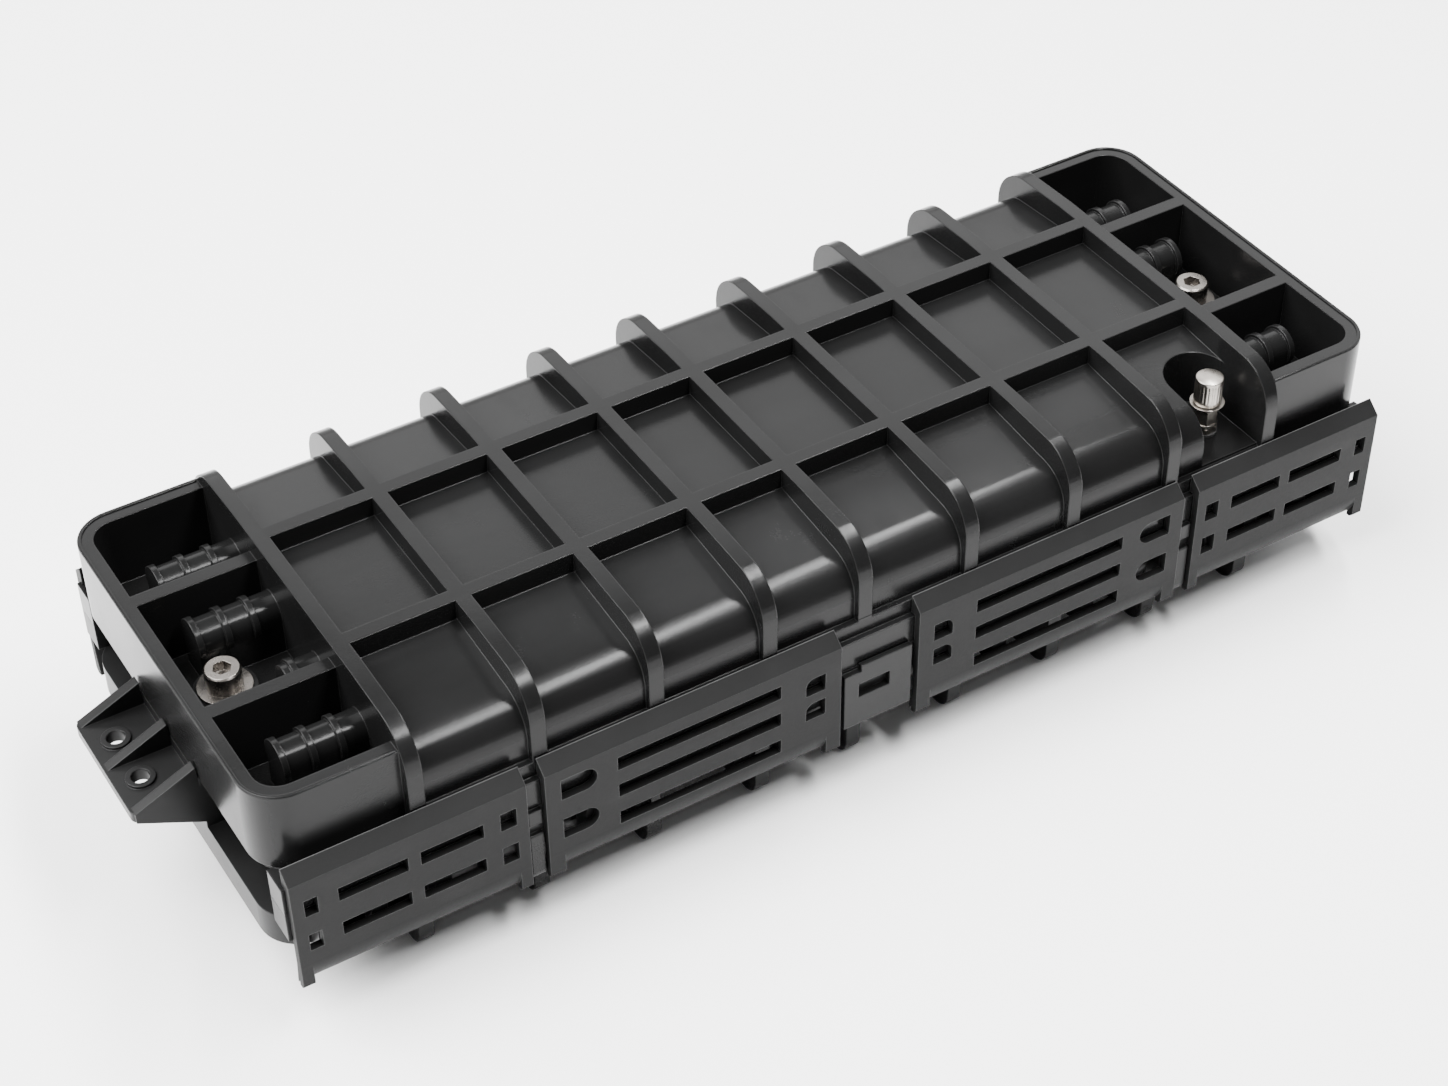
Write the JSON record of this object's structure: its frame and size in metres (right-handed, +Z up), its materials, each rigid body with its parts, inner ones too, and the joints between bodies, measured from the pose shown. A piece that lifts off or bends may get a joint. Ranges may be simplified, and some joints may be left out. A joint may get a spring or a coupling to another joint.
{
  "type": "horizontal fibre splice closure",
  "caption": "Ribbed black plastic splice closure with hinged side latches, end cable ports, splice trays inside, mounting ears and a pressure valve.",
  "frame": {"origin": "under the middle of the closure, on the surface it stands on", "axes": "+X along the closure towards the end with the pressure valve, -Y towards the pictured latch side, +Z up"},
  "size_m": [0.5084, 0.1808, 0.106],
  "materials": {
    "housing": "satin moulded black plastic",
    "latch": "matt moulded dark grey plastic",
    "rubber": "matt black rubber",
    "steel": "plain stainless steel",
    "nickel": "nickel plated brass",
    "brass": "turned brass",
    "tray": "white moulded plastic",
    "lid": "clear plastic sheet",
    "strap": "woven hook and loop strap",
    "comb": "soft blue rubber"
  },
  "bodies": {
    "closure": {"bolt_washers": "steel", "cable_clamp_left_back": "steel", "cable_clamp_left_front": "steel", "cable_clamp_right_back": "steel", "cable_clamp_right_front": "steel", "carrier_screws": "steel", "clamp_screws": "steel", "cover_bolts": "steel", "gasket_back": "rubber", "gasket_front": "rubber", "gasket_left": "rubber", "gasket_right": "rubber", "latch_pins": "steel", "lower_housing": "housing", "port_plug_left_back": "rubber", "port_plug_left_front": "rubber", "port_plug_right_back": "rubber", "port_plug_right_front": "rubber", "splice_comb_1": "comb", "splice_comb_2": "comb", "splice_comb_3": "comb", "splice_tray_1": "tray", "splice_tray_2": "tray", "splice_tray_3": "tray", "strength_anchors": "brass", "threaded_inserts": "brass", "tray_carrier": "tray", "tray_lid": "lid", "tray_strap": "strap", "upper_housing": "housing", "valve_body": "nickel", "valve_core": "brass", "valve_nut": "nickel", "valve_washer": "nickel"},
    "latch_back_1": {"latch_back_1": "latch"},
    "latch_back_2": {"latch_back_2": "latch"},
    "latch_back_3": {"latch_back_3": "latch"},
    "latch_back_4": {"latch_back_4": "latch"},
    "latch_front_1": {"latch_front_1": "latch"},
    "latch_front_2": {"latch_front_2": "latch"},
    "latch_front_3": {"latch_front_3": "latch"},
    "latch_front_4": {"latch_front_4": "latch"},
    "valve_cap": {"valve_cap": "nickel"}
  },
  "joints": [
    {"name": "latch_back_1_hinge", "type": "hinge", "parent": "closure", "child": "latch_back_1", "pos_m": [-0.18385, 0.084, 0.0242], "axis": [-1, 0, 0], "range_deg": [0, 95]},
    {"name": "latch_back_2_hinge", "type": "hinge", "parent": "closure", "child": "latch_back_2", "pos_m": [-0.07455, 0.084, 0.0242], "axis": [-1, 0, 0], "range_deg": [0, 95]},
    {"name": "latch_back_3_hinge", "type": "hinge", "parent": "closure", "child": "latch_back_3", "pos_m": [0.07455, 0.084, 0.0242], "axis": [-1, 0, 0], "range_deg": [0, 95]},
    {"name": "latch_back_4_hinge", "type": "hinge", "parent": "closure", "child": "latch_back_4", "pos_m": [0.18385, 0.084, 0.0242], "axis": [-1, 0, 0], "range_deg": [0, 95]},
    {"name": "latch_front_1_hinge", "type": "hinge", "parent": "closure", "child": "latch_front_1", "pos_m": [-0.18385, -0.084, 0.0242], "axis": [1, 0, 0], "range_deg": [0, 95]},
    {"name": "latch_front_2_hinge", "type": "hinge", "parent": "closure", "child": "latch_front_2", "pos_m": [-0.07455, -0.084, 0.0242], "axis": [1, 0, 0], "range_deg": [0, 95]},
    {"name": "latch_front_3_hinge", "type": "hinge", "parent": "closure", "child": "latch_front_3", "pos_m": [0.07455, -0.084, 0.0242], "axis": [1, 0, 0], "range_deg": [0, 95]},
    {"name": "latch_front_4_hinge", "type": "hinge", "parent": "closure", "child": "latch_front_4", "pos_m": [0.18385, -0.084, 0.0242], "axis": [1, 0, 0], "range_deg": [0, 95]},
    {"name": "valve_cap_lift", "type": "slide", "parent": "closure", "child": "valve_cap", "axis": [0, 0, 1], "range_m": [0, 0.012]}
  ]
}
